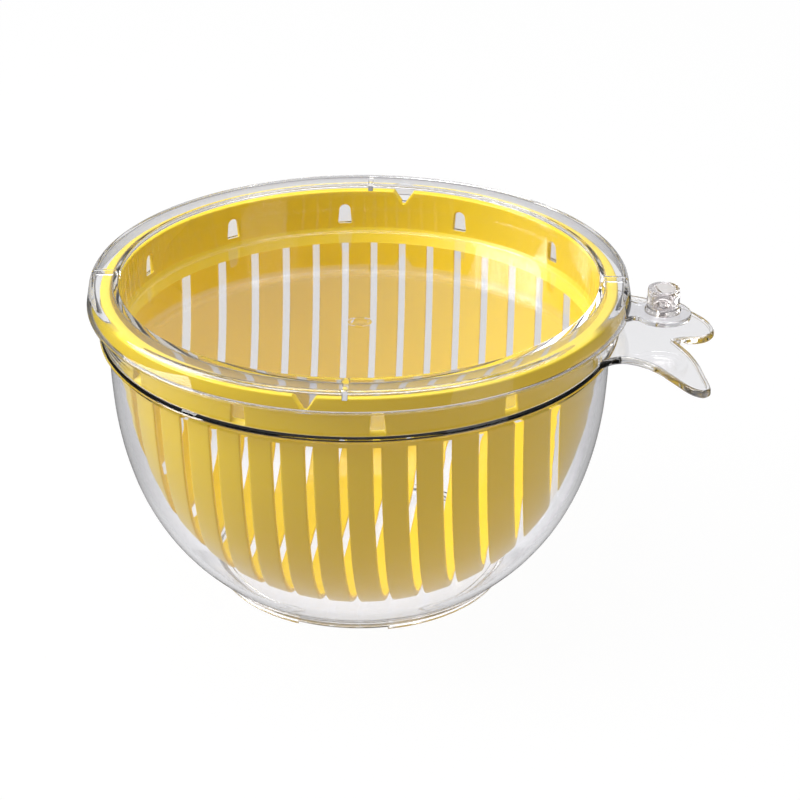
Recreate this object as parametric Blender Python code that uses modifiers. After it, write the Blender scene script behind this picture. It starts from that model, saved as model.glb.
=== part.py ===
# Hand-turned salad spinner without gears.
#
# A clear bowl stands on an interrupted foot ring and carries a flat fish-tail
# handle, which meets the bowl's bead.  A slotted yellow basket hangs inside it: the basket's rim flange runs
# on the bowl's collar, which is the only bearing.  A clear lid caps the
# basket's rim and turns with it.  A small paddle-shaped tab on the lid carries
# a hollow finger knob on a headed pin, which is the crank.
#
# Frame: metres, +Z up.  The origin is on the spin axis, at the surface that
# the foot stands on.  +X points along the handle.
#
# Run with:  blender --background --python part.py

import math

import bmesh
import bpy
from mathutils import Matrix, Vector

# ------------------------------------------------------------------ dimensions
MM = 0.001
SEG = 48                      # facets round the large turned pieces
GAP = 0.3                     # clearance between touching pieces, mm

# bowl
BOWL_WALL = 2.2
COLLAR_TOP_Z = 123.5
COLLAR_OUT_R = 106.0
COLLAR_IN_R = 104.0
BEAD_R = 106.5
BEAD_Z = (111.0, 114.0)
FOOT_OUT_R = 62.0
FOOT_IN_R = 58.6
FOOT_GAP_DEPTH = 1.3
FOOT_GAP_ARC = 35.0           # degrees, four gaps
FOOT_GAP_AT = 3.8             # degrees, first gap's centre
TAIL_Z = (110.5, 113.9)       # the handle plate

# basket
RIM_TOP_Z = 129.0
RIM_BOTTOM_Z = COLLAR_TOP_Z + GAP
RIM_OUT_R = 105.5
RIM_IN_R = 101.0
NECK_OUT_R = 103.4
NECK_IN_R = 101.3
SLOT_COUNT = 14
SLOT_PITCH = 12.79
SLOT_WIDTH = 3.0
SLOT_TOP_Z = 104.7
SLOT_TURN = 3.7               # degrees, the slots' own direction
WINDOW_COUNT = 12
WINDOW_Z = (111.8, 122.4)
WINDOW_WIDTH = (6.0, 5.0)     # bottom, top
NOTCH_WIDTH = 8.6
NOTCH_DEPTH = 5.7

# lid
LID_TOP_Z = 133.6
LID_OUT_R = 110.0
TRAY_R = 98.1                 # inner edge of the ring
TRAY_FLOOR_R = 96.6
TRAY_FLOOR_Z = (108.6, 111.0)
LIP_R = 111.3
LIP_Z = (124.2, 126.2)
FIN_AT = 8.4                  # degrees, first of four
FIN_THICK = 2.2

# crank
CRANK_R = 124.2               # spin axis to knob axis
TAB_HEAD_R = 11.5
TAB_Z = (123.9, 126.1)
KNOB_TOP_Z = 136.4
KNOB_OUT_R = 6.3
KNOB_BORE_R = 4.8
KNOB_FLOOR_Z = (TAB_Z[1] + GAP, 128.0)
PIN_R = 1.5
PIN_HEAD_R = 2.8

# ------------------------------------------------------------------ start clean
for old in list(bpy.data.objects):
    bpy.data.objects.remove(old, do_unlink=True)

PARTS = bpy.data.collections.new("salad_spinner")
CUTTERS = bpy.data.collections.new("cutters")
bpy.context.scene.collection.children.link(PARTS)
bpy.context.scene.collection.children.link(CUTTERS)


# ------------------------------------------------------------------ helpers
def material(name, rgba, roughness, metallic=0.0, transmission=0.0):
    mat = bpy.data.materials.new(name)
    mat.use_nodes = True
    bsdf = mat.node_tree.nodes["Principled BSDF"]
    bsdf.inputs["Base Color"].default_value = rgba
    bsdf.inputs["Roughness"].default_value = roughness
    bsdf.inputs["Metallic"].default_value = metallic
    bsdf.inputs["Transmission Weight"].default_value = transmission
    bsdf.inputs["IOR"].default_value = 1.49
    mat.diffuse_color = rgba
    return mat


def put(obj, mat=None):
    PARTS.objects.link(obj)
    if mat:
        obj.data.materials.append(mat)
    return obj


def cutter(obj):
    CUTTERS.objects.link(obj)
    obj.hide_render = True
    obj.display_type = "WIRE"
    return obj


def turned(name, profile, segments=SEG, closed=False):
    """A turned solid: the profile's (r, z) points in mm, outer side downwards."""
    mesh = bpy.data.meshes.new(name)
    verts = [(r * MM, 0.0, z * MM) for r, z in profile]
    edges = [(i, i + 1) for i in range(len(verts) - 1)]
    if closed:
        edges.append((len(verts) - 1, 0))
    mesh.from_pydata(verts, edges, [])
    obj = bpy.data.objects.new(name, mesh)
    screw = obj.modifiers.new("turn", "SCREW")
    screw.axis = "Z"
    screw.angle = math.tau
    screw.screw_offset = 0.0
    screw.steps = segments
    screw.render_steps = segments
    screw.use_merge_vertices = True
    screw.merge_threshold = 0.00005
    screw.use_smooth_shade = True
    return obj


def box(bm, centre, size, turn=0.0):
    """Adds a box to bm: centre and size in mm, turned about the spin axis."""
    place = (
        Matrix.Rotation(math.radians(turn), 4, "Z")
        @ Matrix.Translation(Vector(centre) * MM)
        @ Matrix.Diagonal((size[0] * MM, size[1] * MM, size[2] * MM, 1.0))
    )
    bmesh.ops.create_cube(bm, size=1.0, matrix=place)


def mesh_object(name, bm):
    mesh = bpy.data.meshes.new(name)
    bm.to_mesh(mesh)
    bm.free()
    return bpy.data.objects.new(name, mesh)


def boolean(obj, operation, other):
    mod = obj.modifiers.new(operation.lower() + "_" + other.name, "BOOLEAN")
    mod.operation = operation
    mod.solver = "EXACT"
    mod.object = other
    return mod


def plate(name, outline, z_low, z_high, sharp=(), resolution=2):
    """A flat plate from a smooth outline of (x, y) points in mm."""
    curve = bpy.data.curves.new(name + "_outline", "CURVE")
    curve.dimensions = "2D"
    curve.fill_mode = "BOTH"
    curve.resolution_u = resolution
    curve.extrude = (z_high - z_low) * 0.5 * MM
    spline = curve.splines.new("BEZIER")
    spline.bezier_points.add(len(outline) - 1)
    for i, (x, y) in enumerate(outline):
        point = spline.bezier_points[i]
        point.co = (x * MM, y * MM, 0.0)
        kind = "VECTOR" if i in sharp else "AUTO"
        point.handle_left_type = kind
        point.handle_right_type = kind
    spline.use_cyclic_u = True
    source = bpy.data.objects.new(name + "_outline", curve)
    source.location.z = (z_low + z_high) * 0.5 * MM
    CUTTERS.objects.link(source)
    bpy.context.view_layer.update()
    graph = bpy.context.evaluated_depsgraph_get()
    mesh = bpy.data.meshes.new_from_object(source.evaluated_get(graph))
    bm = bmesh.new()
    bm.from_mesh(mesh)
    bmesh.ops.remove_doubles(bm, verts=bm.verts, dist=0.00002)
    bmesh.ops.recalc_face_normals(bm, faces=bm.faces)
    bm.to_mesh(mesh)
    bm.free()
    mesh.name = name
    obj = bpy.data.objects.new(name, mesh)
    obj.matrix_world = source.matrix_world.copy()
    bpy.data.objects.remove(source, do_unlink=True)
    return obj


def offset_inwards(points, wall):
    """The inner side of a wall: each point moved along the profile's normal."""
    moved = []
    for i, here in enumerate(points):
        a = Vector(points[max(i - 1, 0)])
        b = Vector(points[min(i + 1, len(points) - 1)])
        along = (b - a).normalized()
        inward = Vector((along.y, -along.x))      # the profile runs downwards
        moved.append(tuple(Vector(here) + inward * wall))
    return moved


# ------------------------------------------------------------------ materials
CLEAR = material("clear_plastic", (0.88, 0.90, 0.93, 0.35), 0.04, transmission=0.9)
CLEAR_LID = material("clear_plastic_lid", (0.88, 0.90, 0.93, 0.35), 0.04, transmission=0.9)
YELLOW = material("yellow_plastic", (0.80, 0.56, 0.05, 1.0), 0.28)
KNOB_CLEAR = material("clear_plastic_knob", (0.90, 0.90, 0.93, 0.35), 0.06, transmission=0.9)
PIN_CLEAR = material("clear_plastic_pin", (0.70, 0.70, 0.74, 0.5), 0.10, transmission=0.8)

# ------------------------------------------------------------------ bowl
# The body's outer side, from just under the bead down to the foot.
bowl_side = [
    (104.8, 110.4), (103.4, 104.0), (102.8, 92.0), (101.6, 76.0), (99.0, 62.0),
    (94.4, 46.5), (87.6, 32.0), (79.4, 20.0), (70.6, 10.4), (64.0, 4.2),
]
bowl_outside = (
    [(0.0, COLLAR_TOP_Z), (COLLAR_OUT_R - 0.5, COLLAR_TOP_Z),
     (COLLAR_OUT_R, COLLAR_TOP_Z - 0.6), (COLLAR_OUT_R, BEAD_Z[1] + 0.3),
     (BEAD_R, BEAD_Z[1] - 0.4), (BEAD_R, BEAD_Z[0] + 0.4),
     (105.2, BEAD_Z[0] - 0.2)]
    + bowl_side
    + [(FOOT_OUT_R + 0.2, 1.8), (FOOT_OUT_R, 0.0), (FOOT_IN_R, 0.0),
       (FOOT_IN_R - 0.4, 2.2), (0.0, 2.2)]
)
bowl = turned("bowl", bowl_outside)

inner_side = offset_inwards(bowl_side, BOWL_WALL)[1:-1]
bowl_cavity = (
    [(0.0, COLLAR_TOP_Z + 8.0), (COLLAR_IN_R, COLLAR_TOP_Z + 8.0),
     (COLLAR_IN_R, 112.0)]
    + inner_side
    + [(61.0, 6.1), (52.0, 4.7), (0.0, 4.5)]
)
cavity = cutter(turned("bowl_cavity", bowl_cavity))

boolean(bowl, "DIFFERENCE", cavity)

# The fish-tail handle: a flat plate with one long and one short lobe.  Its root
# is hollowed to the bead's circle and stands off it by the usual gap.
tail_outline = [
    (98.0, -31.0),                                    # buried root, front
    (105.3, -24.4), (110.3, -20.4), (116.4, -21.4),   # front fillet
    (124.2, -26.1), (131.4, -34.4), (138.6, -42.4),   # long lobe, front edge
    (143.8, -45.0), (146.9, -43.4), (145.9, -38.6),   # long lobe, tip
    (143.9, -30.4), (140.9, -20.2), (136.6, -10.4), (132.4, -4.0),
    (129.4, 0.1),                                     # the notch
    (133.4, 2.5), (138.4, 3.5),
    (142.6, 6.4), (144.8, 12.0), (143.2, 18.0),       # short lobe, tip
    (139.6, 24.0), (134.4, 29.4), (126.6, 34.6), (117.8, 38.4),
    (110.4, 40.6), (105.0, 43.4),                     # back edge
    (98.0, 49.0),                                     # buried root, back
]
tail = plate("tail_handle", tail_outline, TAIL_Z[0], TAIL_Z[1],
             sharp=(0, 14, 26))
root_circle = cutter(turned("tail_root_circle", [
    (0.0, TAIL_Z[1] + 5.0), (BEAD_R + GAP, TAIL_Z[1] + 5.0),
    (BEAD_R + GAP, TAIL_Z[0] - 5.0), (0.0, TAIL_Z[0] - 5.0)]))
boolean(tail, "DIFFERENCE", root_circle)
put(tail, CLEAR)

# Four gaps make the foot ring four pads.
bm = bmesh.new()
gap_length = 2.0 * FOOT_OUT_R * math.sin(math.radians(FOOT_GAP_ARC / 2))
for k in range(4):
    box(bm, (FOOT_OUT_R - 1.0, 0.0, FOOT_GAP_DEPTH / 2 - 1.0),
        (16.0, gap_length, FOOT_GAP_DEPTH + 2.0), FOOT_GAP_AT + 90.0 * k)
boolean(bowl, "DIFFERENCE", cutter(mesh_object("foot_gaps", bm)))
put(bowl, CLEAR)

# ------------------------------------------------------------------ basket
# Its origin is on the spin axis, which is its joint.
body_out = [
    (98.3, 105.0), (97.4, 88.0), (94.4, 72.0), (89.8, 55.0), (83.4, 39.5),
    (74.8, 26.5), (65.0, 16.8), (55.4, 10.8), (45.0, 7.6),
]
body_in = offset_inwards(body_out, 2.2)
basket_profile = (
    [(0.0, 9.8), (44.4, 9.8)]
    + list(reversed(body_in[1:-1]))
    + [(96.1, 104.6), (NECK_IN_R, 110.6), (NECK_IN_R, 126.0),
       (RIM_IN_R, RIM_TOP_Z - 0.5), (RIM_IN_R + 0.5, RIM_TOP_Z),
       (RIM_OUT_R - 0.6, RIM_TOP_Z), (RIM_OUT_R, RIM_TOP_Z - 0.6),
       (RIM_OUT_R, RIM_BOTTOM_Z), (NECK_OUT_R, RIM_BOTTOM_Z),
       (NECK_OUT_R, 111.4)]
    + body_out
    + [(0.0, 7.6)]
)
basket = turned("basket", basket_profile)

bm = bmesh.new()
for k in range(SLOT_COUNT):
    across = (k - (SLOT_COUNT - 1) / 2) * SLOT_PITCH
    box(bm, (across, 0.0, SLOT_TOP_Z / 2),
        (SLOT_WIDTH, 216.0, SLOT_TOP_Z), SLOT_TURN)
boolean(basket, "DIFFERENCE", cutter(mesh_object("basket_slots", bm)))

bm = bmesh.new()
low, high = WINDOW_Z
for k in range(WINDOW_COUNT):
    wide, narrow = WINDOW_WIDTH[0] / 2, WINDOW_WIDTH[1] / 2
    arch = [(-wide, low), (wide, low), (narrow, high - narrow)]
    arch += [(narrow * math.cos(t), high - narrow + narrow * math.sin(t))
             for t in (math.pi / 4, math.pi / 2, 3 * math.pi / 4)]
    arch += [(-narrow, high - narrow)]
    turn = Matrix.Rotation(math.radians(15.0 + 360.0 / WINDOW_COUNT * k), 4, "Z")
    ring = [bm.verts.new(turn @ (Vector((96.0, y, z)) * MM)) for y, z in arch]
    face = bm.faces.new(ring)
    swept = bmesh.ops.extrude_face_region(bm, geom=[face])
    moved = [v for v in swept["geom"] if isinstance(v, bmesh.types.BMVert)]
    bmesh.ops.translate(bm, verts=moved, vec=turn @ Vector((0.012, 0.0, 0.0)))
bmesh.ops.recalc_face_normals(bm, faces=bm.faces)
boolean(basket, "DIFFERENCE", cutter(mesh_object("basket_windows", bm)))

bm = bmesh.new()
for side in (1.0, -1.0):
    slope = (NOTCH_WIDTH / 2) / NOTCH_DEPTH
    over = 1.0
    wedge = [(0.0, RIM_TOP_Z - NOTCH_DEPTH),
             (NOTCH_WIDTH / 2 + over * slope, RIM_TOP_Z + over),
             (-NOTCH_WIDTH / 2 - over * slope, RIM_TOP_Z + over)]
    ring = [bm.verts.new((x * MM, side * 99.0 * MM, z * MM)) for x, z in wedge]
    face = bm.faces.new(ring)
    swept = bmesh.ops.extrude_face_region(bm, geom=[face])
    moved = [v for v in swept["geom"] if isinstance(v, bmesh.types.BMVert)]
    bmesh.ops.translate(bm, verts=moved, vec=(0.0, side * 0.009, 0.0))
bmesh.ops.recalc_face_normals(bm, faces=bm.faces)
boolean(basket, "DIFFERENCE", cutter(mesh_object("rim_notches", bm)))
put(basket, YELLOW)

# ------------------------------------------------------------------ lid
lid_profile = [
    (0.0, TRAY_FLOOR_Z[1]), (TRAY_FLOOR_R, TRAY_FLOOR_Z[1]),
    (97.2, 116.0), (TRAY_R - 0.1, LID_TOP_Z - 1.2), (TRAY_R + 0.8, LID_TOP_Z),
    (LID_OUT_R - 2.4, LID_TOP_Z), (LID_OUT_R - 0.9, LID_TOP_Z - 0.6),
    (LID_OUT_R - 0.3, LID_TOP_Z - 2.1),
    (LID_OUT_R + 0.3, LIP_Z[1] + 0.6), (LIP_R - 0.2, LIP_Z[1]),
    (LIP_R, LIP_Z[1] - 0.4), (LIP_R, LIP_Z[0] + 0.3), (LIP_R - 0.3, LIP_Z[0]),
    (108.5, LIP_Z[0]), (107.9, 131.0), (107.0, 131.6), (100.6, 131.6),
    (100.0, 131.0), (98.6, 110.6), (96.8, TRAY_FLOOR_Z[0]),
    (0.0, TRAY_FLOOR_Z[0]),
]
lid = turned("lid", lid_profile)

# Four radial fins stand in the ring's channel and press on the basket's rim.
bm = bmesh.new()
for k in range(4):
    box(bm, (104.2, 0.0, (RIM_TOP_Z + GAP + 132.4) / 2),
        (9.4, FIN_THICK, 132.4 - RIM_TOP_Z - GAP), FIN_AT + 90.0 * k)
boolean(lid, "UNION", cutter(mesh_object("lid_fins", bm)))

# The crank tab: a short neck and a round head, growing out of the lip.
tab_outline = [(109.6, -9.4), (112.6, -6.9), (114.9, -6.7)]
for k in range(9):
    t = math.radians(-132.0 + 33.0 * k)
    tab_outline.append((CRANK_R + TAB_HEAD_R * math.cos(t),
                        TAB_HEAD_R * math.sin(t)))
tab_outline += [(114.9, 6.7), (112.6, 6.9), (109.6, 9.4)]
tab = cutter(plate("tab_blank", tab_outline, TAB_Z[0], TAB_Z[1],
                   sharp=(0, len(tab_outline) - 1)))
boolean(lid, "UNION", tab)

pin_hole = turned("pin_hole", [(0.0, 128.0), (PIN_R + GAP, 128.0),
                               (PIN_R + GAP, 122.0), (0.0, 122.0)], 16)
pin_hole.location.x = CRANK_R * MM
boolean(lid, "DIFFERENCE", cutter(pin_hole))
put(lid, CLEAR_LID)

# ------------------------------------------------------------------ crank knob
# Origin on its own pin's axis.
floor_low, floor_high = KNOB_FLOOR_Z
knob = turned("crank_knob", [
    (KNOB_OUT_R - 0.5, KNOB_TOP_Z), (KNOB_OUT_R, KNOB_TOP_Z - 0.5),
    (KNOB_OUT_R + 0.3, floor_low + 1.6), (7.3, floor_low + 0.9),
    (7.3, floor_low + 0.2), (7.1, floor_low), (PIN_R + GAP, floor_low),
    (PIN_R + GAP, floor_high), (KNOB_BORE_R, floor_high),
    (KNOB_BORE_R, KNOB_TOP_Z - 0.3), (KNOB_BORE_R + 0.3, KNOB_TOP_Z),
], 24, closed=True)
knob.location.x = CRANK_R * MM
put(knob, KNOB_CLEAR)

pin = turned("knob_pin", [
    (0.0, floor_high + 1.9), (1.6, floor_high + 1.6), (PIN_HEAD_R, floor_high + 0.9),
    (PIN_HEAD_R, floor_high + GAP), (PIN_R, floor_high + GAP),
    (PIN_R, TAB_Z[0] + 0.1), (0.0, TAB_Z[0] + 0.1),
], 16)
pin.location.x = CRANK_R * MM
put(pin, PIN_CLEAR)

bpy.context.view_layer.update()
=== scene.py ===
import math

import bmesh
import bpy
import numpy as np
from mathutils import Matrix, Vector


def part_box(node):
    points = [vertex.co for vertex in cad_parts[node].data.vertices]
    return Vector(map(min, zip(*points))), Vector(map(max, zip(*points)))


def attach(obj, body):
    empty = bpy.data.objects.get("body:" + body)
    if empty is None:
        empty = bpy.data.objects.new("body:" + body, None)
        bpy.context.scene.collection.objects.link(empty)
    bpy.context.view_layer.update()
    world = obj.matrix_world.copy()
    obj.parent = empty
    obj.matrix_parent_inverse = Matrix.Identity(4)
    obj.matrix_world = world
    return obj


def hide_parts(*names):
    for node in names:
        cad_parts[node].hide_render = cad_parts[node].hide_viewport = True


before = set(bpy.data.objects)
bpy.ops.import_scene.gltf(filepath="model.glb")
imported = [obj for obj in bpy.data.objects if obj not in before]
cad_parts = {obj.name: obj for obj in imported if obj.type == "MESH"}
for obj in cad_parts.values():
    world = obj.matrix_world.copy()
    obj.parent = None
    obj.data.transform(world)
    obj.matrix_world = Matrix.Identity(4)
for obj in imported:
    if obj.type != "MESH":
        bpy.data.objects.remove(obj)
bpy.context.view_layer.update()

MM = 0.001
TAU = math.tau

# Where things are comes from the frame.
LID_LOW, LID_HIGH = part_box("lid")
KNOB_LOW, KNOB_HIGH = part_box("crank_knob")
BOWL_LOW, BOWL_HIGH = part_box("bowl")
CRANK_X = (KNOB_LOW.x + KNOB_HIGH.x) / 2          # the knob's own axis
LIP_R = LID_HIGH.y / MM                           # the lid's widest circle, mm
COLLAR_TOP = BOWL_HIGH.z / MM
KNOB_TOP = KNOB_HIGH.z / MM

ROUND = 224                                       # facets round the big turned pieces


# ------------------------------------------------------------------ profile tools
def rounded(points, steps=5):
    """A polyline of (r, z) or (r, z, fillet) points with each fillet cut as an arc."""
    out = []
    n = len(points)
    for i, p in enumerate(points):
        fillet = p[2] if len(p) > 2 else 0.0
        here = Vector(p[:2])
        if fillet <= 0.0 or i in (0, n - 1):
            out.append(tuple(here))
            continue
        a = Vector(points[i - 1][:2]) - here
        b = Vector(points[i + 1][:2]) - here
        la, lb = a.length, b.length
        a.normalize()
        b.normalize()
        half = math.acos(max(-1.0, min(1.0, a.dot(b)))) / 2
        if half < 1e-3 or half > math.pi / 2 - 1e-3:
            out.append(tuple(here))
            continue
        reach = min(fillet / math.tan(half), 0.49 * la, 0.49 * lb)
        radius = reach * math.tan(half)
        centre = here + (a + b).normalized() * (radius / math.sin(half))
        start, end = here + a * reach - centre, here + b * reach - centre
        turn = start.angle_signed(end)
        for k in range(steps + 1):
            t = turn * k / steps
            c, s = math.cos(-t), math.sin(-t)
            out.append((centre.x + start.x * c - start.y * s,
                        centre.y + start.x * s + start.y * c))
    return out


def spline(points, per=8):
    """Catmull-Rom through (r, z) points, ends kept."""
    pts = [Vector(p[:2]) for p in points]
    pts = [2 * pts[0] - pts[1]] + pts + [2 * pts[-1] - pts[-2]]
    out = []
    for i in range(1, len(pts) - 2):
        p0, p1, p2, p3 = pts[i - 1:i + 3]
        # centripetal knots keep the curve from overshooting
        t1 = max((p1 - p0).length, 1e-6) ** 0.5
        t2 = t1 + max((p2 - p1).length, 1e-6) ** 0.5
        t3 = t2 + max((p3 - p2).length, 1e-6) ** 0.5
        for k in range(per):
            t = t1 + (t2 - t1) * k / per
            a1 = p0 * ((t1 - t) / t1) + p1 * (t / t1)
            a2 = p1 * ((t2 - t) / (t2 - t1)) + p2 * ((t - t1) / (t2 - t1))
            a3 = p2 * ((t3 - t) / (t3 - t2)) + p3 * ((t - t2) / (t3 - t2))
            b1 = a1 * ((t2 - t) / t2) + a2 * (t / t2)
            b2 = a2 * ((t3 - t) / (t3 - t1)) + a3 * ((t - t1) / (t3 - t1))
            out.append(tuple(b1 * ((t2 - t) / (t2 - t1)) + b2 * ((t - t1) / (t2 - t1))))
    out.append(tuple(pts[-2]))
    return out


def offset(points, wall):
    """The profile moved along its normal, towards the inside of a downward run."""
    out = []
    for i, here in enumerate(points):
        a = Vector(points[max(i - 1, 0)])
        b = Vector(points[min(i + 1, len(points) - 1)])
        along = (b - a).normalized()
        out.append(tuple(Vector(here) + Vector((along.y, -along.x)) * wall))
    return out


def ring_steps(a, b, count):
    """Points between a and b, both left out, so that flat walls have rows too."""
    return [(a[0] + (b[0] - a[0]) * k / (count + 1), a[1] + (b[1] - a[1]) * k / (count + 1))
            for k in range(1, count + 1)]


# ------------------------------------------------------------------ mesh tools
def make(name, verts, faces, scale=MM):
    mesh = bpy.data.meshes.new(name)
    mesh.from_pydata([tuple(Vector(v) * scale) for v in verts], [], faces)
    mesh.validate()
    bm = bmesh.new()
    bm.from_mesh(mesh)
    bmesh.ops.remove_doubles(bm, verts=bm.verts, dist=2e-6)
    bmesh.ops.recalc_face_normals(bm, faces=bm.faces)
    bm.to_mesh(mesh)
    bm.free()
    obj = bpy.data.objects.new(name, mesh)
    bpy.context.scene.collection.objects.link(obj)
    return obj


def turned(name, profile, segments=ROUND, closed=False, centre=(0.0, 0.0)):
    """A turned solid from (r, z) points in mm; poles are single vertices."""
    verts, rows = [], []
    for r, z in profile:
        if r < 1e-6:
            rows.append([len(verts)] * segments)
            verts.append((centre[0], centre[1], z))
        else:
            rows.append(list(range(len(verts), len(verts) + segments)))
            for k in range(segments):
                t = TAU * k / segments
                verts.append((centre[0] + r * math.cos(t), centre[1] + r * math.sin(t), z))
    faces = []
    pairs = list(zip(rows, rows[1:]))
    if closed:
        pairs.append((rows[-1], rows[0]))
    for upper, lower in pairs:
        for k in range(segments):
            j = (k + 1) % segments
            quad = [upper[k], lower[k], lower[j], upper[j]]
            face = [v for i, v in enumerate(quad) if v not in quad[:i]]
            if len(face) > 2:
                faces.append(face)
    return make(name, verts, faces)


def rounded_plate(name, outline, z_low, z_high, radius, steps=5, border=None):
    """A plate with a rounded rim. outline is a closed list of (x, y) in mm, anticlockwise.
    border = (width, depth) sinks both broad faces a little inside a raised edge."""
    n = len(outline)
    pts = [Vector(p) for p in outline]
    inward = []
    for i in range(n):
        a, b = pts[i - 1], pts[(i + 1) % n]
        t = (b - a).normalized()
        inward.append(Vector((-t.y, t.x)))
    rings = []

    def ring(depth, z):
        rings.append([(pts[i] + inward[i] * depth).to_3d() + Vector((0, 0, z)) for i in range(n)])

    def half(top):
        sign = 1.0 if top else -1.0
        face = z_high if top else z_low
        seq = [(radius * (1 - math.cos(math.pi / 2 * k / steps)),
                face - sign * radius * (1 - math.sin(math.pi / 2 * k / steps)))
               for k in range(steps + 1)]
        seq.append((radius + 0.2, face))
        if border:
            width, depth = border
            seq.append((radius + width, face))
            seq.append((radius + width + 0.1, face - sign * depth * 0.3))
            seq.append((radius + width + 0.2, face - sign * depth))
            seq.append((radius + width + 0.35, face - sign * depth))
        return seq

    top = half(True)
    low = half(False)
    for depth, z in reversed(top):
        ring(depth, z)
    for depth, z in low:
        ring(depth, z)
    verts = [tuple(v) for r in rings for v in r]
    faces = []
    for a in range(len(rings) - 1):
        for i in range(n):
            j = (i + 1) % n
            faces.append([a * n + i, (a + 1) * n + i, (a + 1) * n + j, a * n + j])
    faces.append(list(range(n)))
    faces.append(list(range((len(rings) - 1) * n, len(rings) * n))[::-1])
    return make(name, verts, faces)


def closed_spline(points, per=8, sharp=()):
    """A smooth closed outline through (x, y) points; the sharp ones stay corners."""
    n = len(points)
    out = []
    for i in range(n):
        p1, p2 = Vector(points[i]), Vector(points[(i + 1) % n])
        p0 = Vector(points[i - 1]) if i not in sharp else p1 - (p2 - p1) * 0.6
        p3 = Vector(points[(i + 2) % n]) if (i + 1) % n not in sharp else p2 + (p2 - p1) * 0.6
        t1 = max((p1 - p0).length, 1e-6) ** 0.5
        t2 = t1 + max((p2 - p1).length, 1e-6) ** 0.5
        t3 = t2 + max((p3 - p2).length, 1e-6) ** 0.5
        for k in range(per):
            t = t1 + (t2 - t1) * k / per
            a1 = p0 * ((t1 - t) / t1) + p1 * (t / t1)
            a2 = p1 * ((t2 - t) / (t2 - t1)) + p2 * ((t - t1) / (t2 - t1))
            a3 = p2 * ((t3 - t) / (t3 - t2)) + p3 * ((t - t2) / (t3 - t2))
            b1 = a1 * ((t2 - t) / t2) + a2 * (t / t2)
            b2 = a2 * ((t3 - t) / (t3 - t1)) + a3 * ((t - t1) / (t3 - t1))
            out.append(tuple(b1 * ((t2 - t) / (t2 - t1)) + b2 * ((t - t1) / (t2 - t1))))
    return out


def combine(obj, others, operation):
    """Joins or cuts obj with each of the others for good, and removes them."""
    for other in others:
        mod = obj.modifiers.new(operation, "BOOLEAN")
        mod.operation = operation
        mod.solver = "EXACT"
        mod.object = other
    bpy.context.view_layer.update()
    graph = bpy.context.evaluated_depsgraph_get()
    mesh = bpy.data.meshes.new_from_object(obj.evaluated_get(graph))
    obj.modifiers.clear()
    old = obj.data
    obj.data = mesh
    mesh.name = obj.name
    bpy.data.meshes.remove(old)
    for other in others:
        bpy.data.objects.remove(other, do_unlink=True)
    return obj


def tidy(obj, angle=38.0):
    """Cleans a cut mesh and shades it smooth up to the given edge angle."""
    bm = bmesh.new()
    bm.from_mesh(obj.data)
    bmesh.ops.remove_doubles(bm, verts=bm.verts, dist=3e-6)
    bmesh.ops.dissolve_degenerate(bm, edges=bm.edges, dist=2e-6)
    bm.to_mesh(obj.data)
    bm.free()
    obj.data.shade_smooth()
    obj.data.set_sharp_from_angle(angle=math.radians(angle))
    return obj


def box_object(name, centre, size, turn=0.0, soften=0.0):
    bm = bmesh.new()
    bmesh.ops.create_cube(bm, size=1.0, matrix=Matrix.Diagonal((*size, 1.0)))
    if soften:
        bmesh.ops.bevel(bm, geom=bm.edges[:], offset=soften, segments=3, affect="EDGES", profile=0.5)
    place = Matrix.Rotation(math.radians(turn), 4, "Z") @ Matrix.Translation(centre)
    bmesh.ops.transform(bm, matrix=Matrix.Scale(MM, 4) @ place, verts=bm.verts)
    mesh = bpy.data.meshes.new(name)
    bm.to_mesh(mesh)
    bm.free()
    obj = bpy.data.objects.new(name, mesh)
    bpy.context.scene.collection.objects.link(obj)
    return obj


# ------------------------------------------------------------------ bowl
body_side = spline([
    (104.45, 109.7), (103.7, 106.0), (103.2, 100.0), (102.8, 91.0), (101.7, 77.0),
    (99.1, 62.0), (94.5, 46.5), (87.7, 32.0), (79.5, 20.0), (70.8, 10.6),
    (64.4, 4.6),
], 7)
bowl_outer = rounded([
    (104.0, COLLAR_TOP), (105.95, COLLAR_TOP, 0.7), (105.9, 112.8, 0.15),
    (106.4, 111.95, 0.2), (106.4, 111.45, 0.2), (106.95, 110.65, 0.3), (106.3, 110.05, 0.35),
    (104.85, 109.95, 0.3), body_side[0],
], 6)[1:-1] + body_side
bowl_foot = rounded([
    body_side[-1], (62.4, 2.2, 1.4), (62.0, 0.0, 0.35), (58.7, 0.0, 0.35),
    (58.4, 2.0, 0.5), (40.0, 2.25), (0.0, 2.25),
], 4)[1:]
bowl_inner = offset(body_side, 2.25)
bowl_inner = [p for p in bowl_inner if p[1] < 107.1 and p[0] > 63.5]
bowl_inner = (
    rounded([(104.6, COLLAR_TOP), (104.0, COLLAR_TOP, 0.55), (104.0, 112.3, 3.0),
             bowl_inner[0]], 5)[1:-1]
    + bowl_inner
    + rounded([bowl_inner[-1], (59.5, 4.65, 6.0), (30.0, 4.5), (0.0, 4.5)], 6)[1:]
)
walls = list(reversed(bowl_inner)) + bowl_outer + bowl_foot
bowl = turned("clear_bowl", walls)

FOOT_GAPS = [box_object("foot_gap", Vector((61.0, 0.0, -1.35)), (14.0, 37.2, 5.3),
                        3.8 + 90.0 * k, 0.5) for k in range(4)]
combine(bowl, FOOT_GAPS, "DIFFERENCE")

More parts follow.
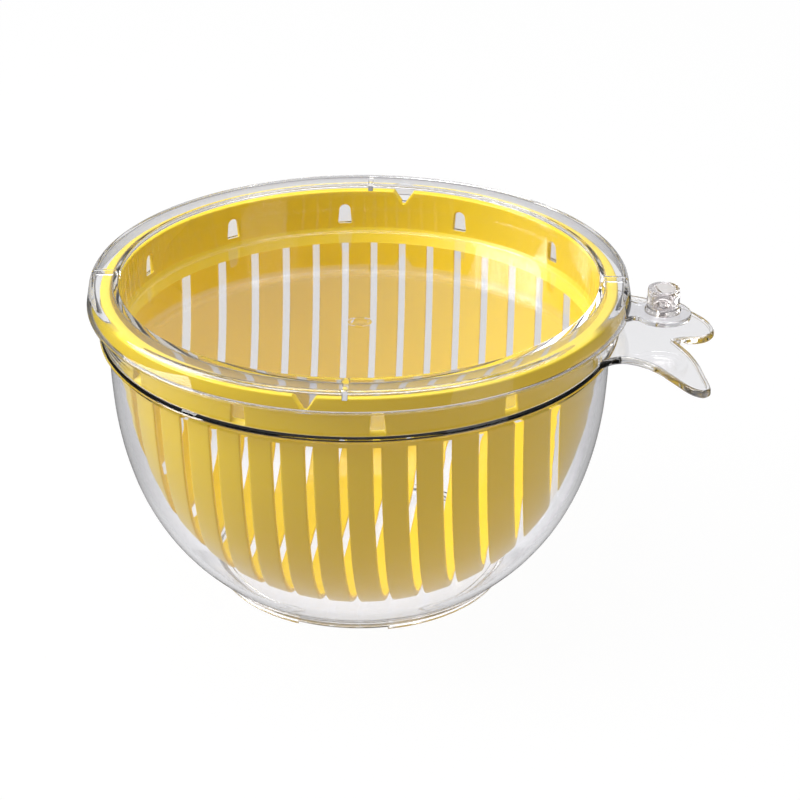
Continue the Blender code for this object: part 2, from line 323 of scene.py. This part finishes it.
# The fish-tail handle, moulded onto the bead: an even raised border runs round it.
tail_points = [
    (95.0, -33.0), (100.5, -29.6), (104.0, -25.8), (106.6, -22.7), (110.4, -20.6),
    (116.2, -21.3), (124.2, -26.1), (131.4, -34.2), (138.2, -42.2),
    (141.4, -44.5), (144.5, -45.1), (146.7, -42.9), (146.5, -39.2),
    (143.9, -30.4), (140.9, -20.6), (136.6, -10.8), (132.5, -4.2),
    (129.6, 0.1),
    (133.2, 2.4), (138.4, 3.4),
    (142.4, 6.0), (144.7, 11.4), (143.3, 17.6),
    (139.6, 24.0), (134.4, 29.4), (126.6, 34.6), (117.8, 38.4),
    (111.0, 40.3), (105.0, 41.6), (98.0, 42.8), (86.0, 44.2),
]
last = len(tail_points) - 1
tail_outline = closed_spline(tail_points, 10, sharp=(0, 17, last))[:last * 10 + 1]
tail = rounded_plate("clear_tail_handle", tail_outline, 110.75, 114.05, 1.1, 6, border=(0.45, 0.32))
# its root stops inside the bowl's wall, and the two are one moulding
core = turned("core", [(0.0, 125.0), (105.0, 125.0), (105.0, 100.0), (0.0, 100.0)])
combine(tail, [core], "DIFFERENCE")
combine(bowl, [tail], "UNION")
tidy(bowl, 42.0)

# ------------------------------------------------------------------ lid
lid_outer = rounded([
    (98.0, 133.6), (LIP_R - 1.65, 133.6, 2.2), (LIP_R, 124.2, 0.62),
    (LIP_R - 1.4, 124.2, 0.62), (LIP_R - 3.6, 131.4, 1.0), (100.3, 131.4, 0.8), (99.2, 111.0, 1.0),
    (97.8, 109.3, 0.7), (90.0, 109.3),
], 5)[1:-1]
lid_tray = rounded([
    (90.0, 111.0), (97.4, 111.0, 0.7), (98.0, 133.6, 0.45), (104.0, 133.6),
], 6)
tray_rows = [(0.0, 111.0), (3.3, 111.0), (3.6, 110.93), (4.1, 110.93), (4.4, 111.0),
             (5.2, 111.0), (12.0, 111.0), (30.0, 111.0), (60.0, 111.0), (80.0, 111.0), (93.0, 111.0)]
under_rows = [(93.0, 109.3), (80.0, 109.3), (60.0, 109.3), (30.0, 109.3), (12.0, 109.3), (0.0, 109.3)]
inner_wall = lid_tray[1:-1]
lid_profile = tray_rows + inner_wall + [(103.5, 133.6)] + lid_outer + under_rows
lid = turned("clear_lid", lid_profile)

fins = [box_object("fin", Vector((104.4, 0.0, 131.0)), (9.4, 2.2, 3.4), 8.4 + 90.0 * k, 0.35)
        for k in range(4)]
tab_points = [(109.7, -11.0), (110.8, -8.9), (112.8, -7.2), (115.3, -7.0)]
tab_points += [(CRANK_X / MM + 11.5 * math.cos(math.radians(-130.0 + 20.0 * k)),
                11.5 * math.sin(math.radians(-130.0 + 20.0 * k))) for k in range(14)]
tab_points += [(115.3, 7.0), (112.8, 7.2), (110.8, 8.9), (109.7, 11.0)]
tab = rounded_plate("tab", closed_spline(tab_points, 6, sharp=(0, len(tab_points) - 1)),
                    123.95, 126.1, 0.55, 5)
combine(lid, fins + [tab], "UNION")
pin_well = turned("pin_well", [(0.0, 130.0), (1.8, 130.0), (1.8, 120.0), (0.0, 120.0)], 48,
                  centre=(CRANK_X / MM, 0.0))
combine(lid, [pin_well], "DIFFERENCE")
tidy(lid, 40.0)

# ------------------------------------------------------------------ crank knob and pin
knob = turned("clear_knob", rounded([
    (5.6, KNOB_TOP), (6.3, KNOB_TOP, 0.6), (6.75, 128.4, 1.6), (7.35, 127.35, 0.4),
    (7.35, 126.45, 0.3), (1.8, 126.45, 0.15), (1.8, 127.95, 0.2), (4.5, 127.95, 0.9),
    (4.75, KNOB_TOP, 0.6), (5.6, KNOB_TOP),
], 6)[1:], 96, closed=True, centre=(CRANK_X / MM, 0.0))
tidy(knob, 45.0)
pin = turned("clear_pin", rounded([
    (0.0, 129.8), (1.4, 129.7, 0.6), (2.75, 129.0, 0.4), (2.75, 128.25, 0.25),
    (1.5, 128.25, 0.1), (1.5, 124.1, 0.2), (0.0, 124.1),
], 5), 64, centre=(CRANK_X / MM, 0.0))
tidy(pin, 45.0)

# ------------------------------------------------------------------ basket
# The body is fifteen bars between fourteen parallel slots. Each bar is swept along
# the bowl-shaped wall, with rounded edges, and joins the ring above the slots.
SLOT_TOP = 104.7
SLOT_PITCH, SLOT_WIDE, SLOT_COUNT = 12.79, 3.0, 14
SLOT_TURN = math.radians(3.7)
WALL = 2.2
wall_line = spline([
    (98.45, 107.0), (98.3, 104.7), (97.9, 96.0), (97.2, 87.0), (94.6, 71.0), (90.0, 55.0),
    (83.6, 39.5), (75.0, 26.5), (65.2, 16.6), (56.0, 10.9), (49.5, 8.4), (43.0, 7.6),
], 14)
wall_line += [(r, 7.6) for r in (41.0, 36.0, 24.0, 12.0, 0.001)]


class Level:
    """The wall's surface at one depth, as radius against height."""

    def __init__(self, depth):
        pts = np.array(offset(wall_line, depth))
        order = np.argsort(pts[:, 1], kind="stable")
        z, r = pts[order, 1], pts[order, 0]
        keep = np.concatenate([[True], np.diff(z) > 1e-5])
        self.z, self.floor = z[keep], z[0]
        r = np.maximum.accumulate(r)
        first = r[: np.searchsorted(z, z[0] + 1e-4) + 1].max() if len(r) else 0.0
        self.r = r[keep]
        self.r[0] = max(self.r[0], first)

    def hit(self, x, alpha):
        """Where a ray from the slots' top line meets this level in the plane x."""
        d = np.stack([np.cos(alpha), -np.sin(alpha)], -1)
        low, high = np.zeros(len(alpha)), np.full(len(alpha), 130.0)
        for _ in range(44):
            mid = (low + high) / 2
            y, z = d[:, 0] * mid, SLOT_TOP + d[:, 1] * mid
            inside = (z >= self.floor) & (np.hypot(x, y) < np.interp(z, self.z, self.r))
            low, high = np.where(inside, mid, low), np.where(inside, high, mid)
        mid = (low + high) / 2
        return d[:, 0] * mid, SLOT_TOP + d[:, 1] * mid


def edge_depths(outer, inner, steps):
    """(step across, depth) along a bar's rounded side, from the outside inwards."""
    out = []
    for k in range(1, steps + 1):
        t = math.pi / 2 * k / steps
        out.append((outer * (1 - math.sin(t)), outer * (1 - math.cos(t))))
    for k in range(steps):
        t = math.pi / 2 * k / steps
        out.append((inner * (1 - math.cos(t)), WALL - inner * (1 - math.sin(t))))
    return out


OUT_R, IN_R, EDGE_STEPS = 0.8, 0.55, 4
EDGE = edge_depths(OUT_R, IN_R, EDGE_STEPS)
LEVELS = {}


def level(depth):
    key = round(depth, 5)
    if key not in LEVELS:
        LEVELS[key] = Level(depth)
    return LEVELS[key]


# Rows along a bar, evenly spaced along the middle section.
fine = np.linspace(0.0, math.pi, 1201)
fy, fz = level(0.0).hit(0.0, fine)
run = np.concatenate([[0], np.cumsum(np.hypot(np.diff(fy), np.diff(fz)))])
ALPHA = np.interp(np.linspace(0, run[-1], 97), run, fine)
ALPHA[0], ALPHA[-1] = 0.0, math.pi

verts, faces = [], []


def add_column(x, depth):
    """One line of vertices along a bar; returns their indices."""
    y, z = level(depth).hit(x, ALPHA)
    start = len(verts)
    verts.extend(zip(np.full(len(y), x), y, z))
    return list(range(start, start + len(y)))


def skin(a, b):
    for i in range(len(a) - 1):
        faces.append([a[i], a[i + 1], b[i + 1], b[i]])


half_slot = SLOT_WIDE / 2
edges = [(k - (SLOT_COUNT - 1) / 2) * SLOT_PITCH for k in range(SLOT_COUNT)]
R_OUT = float(np.interp(SLOT_TOP, level(0.0).z, level(0.0).r))
R_IN = float(np.interp(SLOT_TOP, level(WALL).z, level(WALL).r))
bars = []                                # each: outer, left side, right side, inner columns
for k in range(SLOT_COUNT - 1):
    x0, x1 = edges[k] + half_slot, edges[k + 1] - half_slot
    share = [0.0, 0.05] + [0.05 + 0.9 * i / 6 for i in range(1, 6)] + [0.95, 1.0]
    outer = [add_column(x0 + OUT_R + (x1 - x0 - 2 * OUT_R) * s, 0.0) for s in share]
    inner = [add_column(x0 + IN_R + (x1 - x0 - 2 * IN_R) * s, WALL) for s in share]
    left = [add_column(x0 + a, d) for a, d in EDGE]
    right = [add_column(x1 - a, d) for a, d in EDGE]
    for row in (outer, inner):
        for a, b in zip(row, row[1:]):
            skin(a, b)
    for side, first, last in ((left, outer[0], inner[0]), (right, outer[-1], inner[-1])):
        chain = [first] + side + [last]
        for a, b in zip(chain, chain[1:]):
            skin(a, b)
    bars.append(dict(outer=outer, inner=inner, left=left, right=right))


def end_panel(sign):
    """The wall beyond the last slot, closing to a point on the ring."""
    x0 = edges[-1] + half_slot
    cols = 22
    def columns(radius, first, depth):
        start = math.acos(first / radius)
        out = []
        for j in range(cols):
            share = j / cols
            if j == 1:
                share = 0.012
            out.append(add_column(sign * radius * math.cos(start * (1 - share)), depth))
        tip = len(verts)
        verts.append((sign * radius, 0.0, SLOT_TOP))
        out.append([tip] * len(ALPHA))
        return out
    outer = columns(R_OUT, x0 + OUT_R, 0.0)
    inner = columns(R_IN, x0 + IN_R, WALL)
    side = [add_column(sign * (x0 + a), d) for a, d in EDGE]
    for row in (outer, inner):
        for a, b in zip(row, row[1:]):
            for i in range(len(a) - 1):
                quad = [a[i], a[i + 1], b[i + 1], b[i]]
                face = [v for n, v in enumerate(quad) if v not in quad[:n]]
                faces.append(face)
    chain = [outer[0]] + side + [inner[0]]
    for a, b in zip(chain, chain[1:]):
        skin(a, b)
    return dict(outer=outer, inner=inner, side=side)


right_end, left_end = end_panel(1.0), end_panel(-1.0)

# The ring above the slots: its columns start from the bars' own end vertices.
outer_ids, inner_ids = [], []            # vertices round the circle, anticlockwise from +X


def arc_between(a, b, radius, count):
    """New vertices on the circle between two that exist."""
    pa, pb = verts[a], verts[b]
    ta, tb = math.atan2(pa[1], pa[0]), math.atan2(pb[1], pb[0])
    while tb < ta:
        tb += TAU
    made = []
    for k in range(1, count + 1):
        t = ta + (tb - ta) * k / (count + 1)
        made.append(len(verts))
        verts.append((radius * math.cos(t), radius * math.sin(t), SLOT_TOP))
    return made


def end_row(columns, i):
    return [c[i] for c in columns]


top, low = 0, len(ALPHA) - 1             # rows at +y and at -y
sequence = []                            # (outer vertices, inner vertices, side towards next, next's side)
sequence.append((end_row(reversed(right_end["outer"]), top), end_row(reversed(right_end["inner"]), top),
                 end_row(right_end["side"], top), None))
for bar in reversed(bars):
    sequence.append((end_row(reversed(bar["outer"]), top), end_row(reversed(bar["inner"]), top),
                     end_row(bar["left"], top), end_row(bar["right"], top)))
whole_left_o = end_row(left_end["outer"], top) + end_row(reversed(left_end["outer"][:-1]), low)
whole_left_i = end_row(left_end["inner"], top) + end_row(reversed(left_end["inner"][:-1]), low)
sequence.append((whole_left_o, whole_left_i, end_row(left_end["side"], low), end_row(left_end["side"], top)))
for bar in bars:
    sequence.append((end_row(bar["outer"], low), end_row(bar["inner"], low),
                     end_row(bar["right"], low), end_row(bar["left"], low)))
sequence.append((end_row(right_end["outer"][:-1], low), end_row(right_end["inner"][:-1], low),
                 None, end_row(right_end["side"], low)))
for n, (o, i, leaving, _) in enumerate(sequence):
    outer_ids += o
    inner_ids += i
    if leaving is None:
        continue
    nxt = sequence[n + 1]
    gap_o = arc_between(o[-1], nxt[0][0], R_OUT, 1)
    gap_i = arc_between(i[-1], nxt[1][0], R_IN, 1)
    outer_ids += gap_o
    inner_ids += gap_i
    # the slot's flat end
    faces.append([o[-1]] + gap_o + [nxt[0][0]] + nxt[3] + [nxt[1][0]] + gap_i[::-1] + [i[-1]] + leaving[::-1])

ring_up = rounded([
    (R_OUT, SLOT_TOP), (R_OUT + 0.1, 106.3, 2.0), (103.4, 111.6, 1.6), (103.4, 123.8, 0.25),
    (105.5, 123.8, 0.4), (105.5, 129.0, 0.8), (101.15, 129.0, 0.7), (101.3, 126.0, 6.0),
    (101.3, 111.4, 1.2), (96.9, 105.7, 2.0), (R_IN, SLOT_TOP),
], 6)
extra = []
for p, q in zip(ring_up, ring_up[1:]):
    extra.append(p)
    gap = math.hypot(q[0] - p[0], q[1] - p[1])
    if gap > 2.4:
        extra += ring_steps(p, q, int(gap / 2.0))
ring_up = extra + [ring_up[-1]]
angle_o = [math.atan2(verts[v][1], verts[v][0]) for v in outer_ids]
angle_i = [math.atan2(verts[v][1], verts[v][0]) for v in inner_ids]
rows = [outer_ids]
reach = len(ring_up) - 1
for n, (r, z) in enumerate(ring_up[1:-1], 1):
    share = min(1.0, max(0.0, (n / reach - 0.35) / 0.3))
    start = len(verts)
    for a, b in zip(angle_o, angle_i):
        while b - a > math.pi:
            b -= TAU
        while a - b > math.pi:
            b += TAU
        t = a + (b - a) * share
        verts.append((r * math.cos(t), r * math.sin(t), z))
    rows.append(list(range(start, start + len(angle_o))))
rows.append(inner_ids)
count = len(outer_ids)
for a, b in zip(rows, rows[1:]):
    for k in range(count):
        j = (k + 1) % count
        faces.append([a[k], b[k], b[j], a[j]])
c, s = math.cos(SLOT_TURN), math.sin(SLOT_TURN)
verts = [(x * c - y * s, x * s + y * c, z) for x, y, z in verts]
basket = make("yellow_basket", verts, faces)


def flared_cutter(name, outline, radii, turn):
    """Cuts through the neck along a radius. outline is (across, up) in mm; radii is a
    list of (radius, growth, sill): the opening grows where it meets the wall's faces,
    and its lower edge rises by sill, so that the opening's floor slopes outwards."""
    mid = Vector((sum(p[0] for p in outline), sum(p[1] for p in outline))) / len(outline)
    rot = Matrix.Rotation(turn, 4, "Z")
    n = len(outline)
    vs, fs = [], []
    for radius, growth, sill in radii:
        for i, p in enumerate(outline):
            a, b = Vector(outline[i - 1]), Vector(outline[(i + 1) % n])
            t = (b - a).normalized()
            out = Vector((t.y, -t.x))
            q = Vector(p) + out * growth
            if i < 10:
                q.y += sill
            vs.append(tuple(rot @ Vector((radius, q.x, q.y))))
    for k in range(len(radii) - 1):
        for i in range(n):
            j = (i + 1) % n
            fs.append([k * n + i, k * n + j, (k + 1) * n + j, (k + 1) * n + i])
    fs.append(list(range(n))[::-1])
    fs.append(list(range((len(radii) - 1) * n, len(radii) * n)))
    return make(name, vs, fs)


def window_outline(low=111.9, high=122.4, wide=3.05, narrow=2.5):
    pts = []
    r = 0.7
    for k in range(5):
        t = math.pi + math.pi / 2 * k / 4
        pts.append((-wide + r + r * math.cos(t), low + r + r * math.sin(t)))
    for k in range(5):
        t = -math.pi / 2 + math.pi / 2 * k / 4
        pts.append((wide - r + r * math.cos(t), low + r + r * math.sin(t)))
    for k in range(13):
        t = math.pi * k / 12
        pts.append((narrow * math.cos(t), high - narrow + narrow * math.sin(t)))
    return pts


FLARE = [(96.0, 0.5, 1.9), (101.25, 0.5, 1.9), (101.42, 0.2, 1.75), (101.7, 0.0, 1.5),
         (103.0, 0.0, 0.3), (103.28, 0.2, 0.1), (103.45, 0.5, 0.0), (109.0, 0.5, 0.0)]
cutters = [flared_cutter("window", window_outline(), FLARE, math.radians(15.0 + 30.0 * k))
           for k in range(12)]
notch = [(0.5, 123.15), (4.95, 129.6), (5.6, 134.0), (-5.6, 134.0), (-4.95, 129.6), (-0.5, 123.15)]
NOTCH_FLARE = [(98.0, 0.45, 0.0), (101.1, 0.45, 0.0), (101.3, 0.15, 0.0), (101.6, 0.0, 0.0),
               (105.0, 0.0, 0.0), (105.3, 0.15, 0.0), (105.52, 0.45, 0.0), (110.0, 0.45, 0.0)]
cutters += [flared_cutter("notch", notch, NOTCH_FLARE, math.radians(90.0 + 180.0 * k))
            for k in range(2)]
combine(basket, cutters, "DIFFERENCE")
tidy(basket, 36.0)


# ------------------------------------------------------------------ materials
def nodes_of(mat):
    mat.use_nodes = True
    return mat.node_tree, mat.node_tree.nodes["Principled BSDF"], mat.node_tree.nodes["Material Output"]


def add(nt, kind, **values):
    node = nt.nodes.new(kind)
    for key, value in values.items():
        setattr(node, key, value)
    return node


def clear_plastic(name, tint, through, ripple=0.003):
    """Polished clear plastic. Lamps and bounced light pass it straight."""
    mat = bpy.data.materials.new(name)
    nt, bsdf, out = nodes_of(mat)
    bsdf.inputs["Base Color"].default_value = (*tint, 1.0)
    bsdf.inputs["Roughness"].default_value = 0.012
    bsdf.inputs["IOR"].default_value = 1.50
    bsdf.inputs["Transmission Weight"].default_value = 1.0
    coords = add(nt, "ShaderNodeTexCoord")
    noise = add(nt, "ShaderNodeTexNoise")
    noise.inputs["Scale"].default_value = 26.0
    noise.inputs["Detail"].default_value = 2.0
    bump = add(nt, "ShaderNodeBump")
    bump.inputs["Strength"].default_value = ripple
    bump.inputs["Distance"].default_value = 0.001
    nt.links.new(coords.outputs["Object"], noise.inputs["Vector"])
    nt.links.new(noise.outputs["Fac"], bump.inputs["Height"])
    nt.links.new(bump.outputs["Normal"], bsdf.inputs["Normal"])
    path = add(nt, "ShaderNodeLightPath")
    either = add(nt, "ShaderNodeMath", operation="MAXIMUM")
    nt.links.new(path.outputs["Is Shadow Ray"], either.inputs[0])
    nt.links.new(path.outputs["Is Diffuse Ray"], either.inputs[1])
    clear = add(nt, "ShaderNodeBsdfTransparent")
    clear.inputs["Color"].default_value = (*through, 1.0)
    mix = add(nt, "ShaderNodeMixShader")
    nt.links.new(either.outputs[0], mix.inputs[0])
    nt.links.new(bsdf.outputs[0], mix.inputs[1])
    nt.links.new(clear.outputs[0], mix.inputs[2])
    nt.links.new(mix.outputs[0], out.inputs["Surface"])
    return mat


def yellow_plastic(name):
    mat = bpy.data.materials.new(name)
    nt, bsdf, out = nodes_of(mat)
    coords = add(nt, "ShaderNodeTexCoord")
    flow = add(nt, "ShaderNodeTexNoise")
    flow.inputs["Scale"].default_value = 9.0
    flow.inputs["Detail"].default_value = 3.0
    tone = add(nt, "ShaderNodeValToRGB")
    tone.color_ramp.elements[0].position = 0.35
    tone.color_ramp.elements[0].color = (0.80, 0.600, 0.026, 1.0)
    tone.color_ramp.elements[1].position = 0.68
    tone.color_ramp.elements[1].color = (0.84, 0.645, 0.030, 1.0)
    nt.links.new(coords.outputs["Object"], flow.inputs["Vector"])
    nt.links.new(flow.outputs["Fac"], tone.inputs["Fac"])
    nt.links.new(tone.outputs["Color"], bsdf.inputs["Base Color"])
    grain = add(nt, "ShaderNodeTexNoise")
    grain.inputs["Scale"].default_value = 900.0
    grain.inputs["Detail"].default_value = 2.0
    bump = add(nt, "ShaderNodeBump")
    bump.inputs["Strength"].default_value = 0.05
    bump.inputs["Distance"].default_value = 0.0002
    nt.links.new(coords.outputs["Object"], grain.inputs["Vector"])
    nt.links.new(grain.outputs["Fac"], bump.inputs["Height"])
    nt.links.new(bump.outputs["Normal"], bsdf.inputs["Normal"])
    gloss = add(nt, "ShaderNodeMapRange")
    gloss.inputs["To Min"].default_value = 0.24
    gloss.inputs["To Max"].default_value = 0.34
    nt.links.new(flow.outputs["Fac"], gloss.inputs["Value"])
    nt.links.new(gloss.outputs["Result"], bsdf.inputs["Roughness"])
    bsdf.inputs["IOR"].default_value = 1.49
    bsdf.inputs["Specular IOR Level"].default_value = 0.36
    bsdf.inputs["Subsurface Weight"].default_value = 0.12
    bsdf.inputs["Subsurface Radius"].default_value = (1.0, 0.85, 0.15)
    bsdf.inputs["Subsurface Scale"].default_value = 0.0025
    return mat


BOWL_MAT = clear_plastic("bowl_clear", (0.885, 0.883, 0.900), (0.96, 0.96, 0.965))
LID_MAT = clear_plastic("lid_clear", (0.88, 0.88, 0.90), (0.96, 0.96, 0.965))
KNOB_MAT = clear_plastic("knob_clear", (0.76, 0.735, 0.73), (0.96, 0.96, 0.965))
YELLOW_MAT = yellow_plastic("basket_yellow")

for obj, mat in ((bowl, BOWL_MAT), (lid, LID_MAT), (knob, KNOB_MAT),
                 (pin, KNOB_MAT), (basket, YELLOW_MAT)):
    obj.data.materials.clear()
    obj.data.materials.append(mat)

# ------------------------------------------------------------------ riding on the frame
for obj, body, nodes, slot in (
        (bowl, "bowl", ("bowl", "tail_handle"), "clear_bowl"),
        (basket, "basket", ("basket",), "yellow_basket"),
        (lid, "lid", ("lid",), "clear_lid"),
        (pin, "lid", ("knob_pin",), "clear_pin"),
        (knob, "knob", ("crank_knob",), "clear_knob")):
    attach(obj, body)
    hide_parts(*nodes)

# ------------------------------------------------------------------ floor, light, camera
floor = bpy.data.meshes.new("floor")
floor.from_pydata([(-6, -6, 0), (6, -6, 0), (6, 6, 0), (-6, 6, 0)], [], [(0, 1, 2, 3)])
floor = bpy.data.objects.new("floor", floor)
bpy.context.scene.collection.objects.link(floor)
floor.location.z = -0.0004
floor_mat = bpy.data.materials.new("floor_white")
nt, bsdf, out = nodes_of(floor_mat)
bsdf.inputs["Base Color"].default_value = (0.02, 0.02, 0.02, 1.0)
bsdf.inputs["Roughness"].default_value = 0.9
bsdf.inputs["Specular IOR Level"].default_value = 0.0
bsdf.inputs["Emission Color"].default_value = (1.0, 1.0, 1.0, 1.0)
bsdf.inputs["Emission Strength"].default_value = 0.92
# It is lit evenly: white straight on and through the plastic, softer in reflections.
path = add(nt, "ShaderNodeLightPath")
bounce = add(nt, "ShaderNodeMath", operation="MULTIPLY_ADD")
bounce.inputs[1].default_value = -0.90
bounce.inputs[2].default_value = 0.97
again = add(nt, "ShaderNodeMath", operation="MINIMUM")
again.inputs[1].default_value = 1.0
nt.links.new(path.outputs["Glossy Depth"], again.inputs[0])
part = add(nt, "ShaderNodeMath", operation="MULTIPLY")
part.inputs[1].default_value = 0.20
nt.links.new(again.outputs[0], part.inputs[0])
seen_by = add(nt, "ShaderNodeMath", operation="MAXIMUM")
nt.links.new(path.outputs["Is Reflection Ray"], seen_by.inputs[0])
nt.links.new(part.outputs[0], seen_by.inputs[1])
nt.links.new(seen_by.outputs[0], bounce.inputs[0])
glow = add(nt, "ShaderNodeMath", operation="MULTIPLY_ADD")
glow.inputs[1].default_value = 0.80
nt.links.new(path.outputs["Is Diffuse Ray"], glow.inputs[0])
nt.links.new(bounce.outputs[0], glow.inputs[2])
# painted pool of light: beneath the bowl the floor glows brighter to rays through the plastic, standing in
# for light gathered by the clear foot
spot_at = add(nt, "ShaderNodeTexCoord")
spot_len = add(nt, "ShaderNodeVectorMath", operation="LENGTH")
nt.links.new(spot_at.outputs["Object"], spot_len.inputs[0])
painted_light_pool = add(nt, "ShaderNodeMapRange", interpolation_type="SMOOTHSTEP")
painted_light_pool.inputs["From Min"].default_value = 0.080
painted_light_pool.inputs["From Max"].default_value = 0.150
painted_light_pool.inputs["To Min"].default_value = 0.38
painted_light_pool.inputs["To Max"].default_value = 0.0
nt.links.new(spot_len.outputs["Value"], painted_light_pool.inputs["Value"])
# the painted pool of light adds to the floor's glow only for rays through the plastic
under = add(nt, "ShaderNodeMath", operation="MULTIPLY_ADD")
nt.links.new(path.outputs["Is Transmission Ray"], under.inputs[0])
nt.links.new(painted_light_pool.outputs["Result"], under.inputs[1])
nt.links.new(glow.outputs[0], under.inputs[2])
nt.links.new(under.outputs[0], bsdf.inputs["Emission Strength"])
warm = add(nt, "ShaderNodeMix", data_type="RGBA")
warm.inputs[6].default_value = (1.0, 1.0, 1.0, 1.0)
warm.inputs[7].default_value = (1.0, 0.80, 0.50, 1.0)
nt.links.new(path.outputs["Is Diffuse Ray"], warm.inputs[0])
nt.links.new(warm.outputs[2], bsdf.inputs["Emission Color"])
floor.data.materials.append(floor_mat)

world = bpy.data.worlds.new("studio")
bpy.context.scene.world = world
world.use_nodes = True
nt = world.node_tree
background = nt.nodes["Background"]
coords = add(nt, "ShaderNodeTexCoord")
split = add(nt, "ShaderNodeSeparateXYZ")
ramp = add(nt, "ShaderNodeValToRGB")
nt.links.new(coords.outputs["Generated"], split.inputs[0])
nt.links.new(split.outputs["Z"], ramp.inputs["Fac"])
ramp.color_ramp.elements[0].position = 0.0
ramp.color_ramp.elements[0].color = (0.10, 0.10, 0.12, 1.0)
ramp.color_ramp.elements[1].position = 0.50
ramp.color_ramp.elements[1].color = (1.0, 1.0, 1.0, 1.0)
mid = ramp.color_ramp.elements.new(0.16)
mid.color = (0.10, 0.10, 0.12, 1.0)
nt.links.new(ramp.outputs["Color"], background.inputs["Color"])
path = add(nt, "ShaderNodeLightPath")
dim = add(nt, "ShaderNodeMath", operation="MULTIPLY_ADD")
dim.inputs[1].default_value = -0.35
dim.inputs[2].default_value = 0.75
nt.links.new(path.outputs["Is Diffuse Ray"], dim.inputs[0])
nt.links.new(dim.outputs[0], background.inputs["Strength"])


def area(name, place, aim, size, power, colour=(1.0, 1.0, 1.0)):
    data = bpy.data.lights.new(name, "AREA")
    data.shape = "RECTANGLE"
    data.size, data.size_y = size
    data.energy = power
    data.color = colour
    obj = bpy.data.objects.new(name, data)
    bpy.context.scene.collection.objects.link(obj)
    obj.location = place
    obj.rotation_euler = (Vector(aim) - Vector(place)).to_track_quat("-Z", "Y").to_euler()
    return obj


area("key", (-0.95, -0.20, 0.80), (0, 0, 0.09), (0.8, 0.8), 20.0)
area("top", (-0.10, 0.20, 1.20), (0, 0, 0.09), (1.0, 0.7), 13.0)
area("fill", (0.90, -0.50, 0.60), (0, 0, 0.09), (0.5, 0.9), 1.6)

YAW, PITCH = math.radians(10.4), 0.46735
camera_data = bpy.data.cameras.new("camera")
camera_data.lens = 2357.68 / 800.0 * 36.0
camera_data.sensor_width = 36.0
camera_data.clip_start, camera_data.clip_end = 0.02, 50.0
camera = bpy.data.objects.new("camera", camera_data)
bpy.context.scene.collection.objects.link(camera)
camera.location = Matrix.Rotation(YAW, 4, "Z") @ Vector((0.01664, -0.88403, 0.52095))
camera.rotation_euler = (math.pi / 2 - PITCH, 0.0, YAW)
bpy.context.scene.camera = camera

# Light runs many times between the faces of a clear plate before it leaves at the edge.
cycles = bpy.context.scene.cycles
cycles.max_bounces = 32
cycles.transmission_bounces = 32
cycles.glossy_bounces = 20
cycles.transparent_max_bounces = 32

view = bpy.context.scene.view_settings
view.view_transform = "Standard"
view.look = "None"
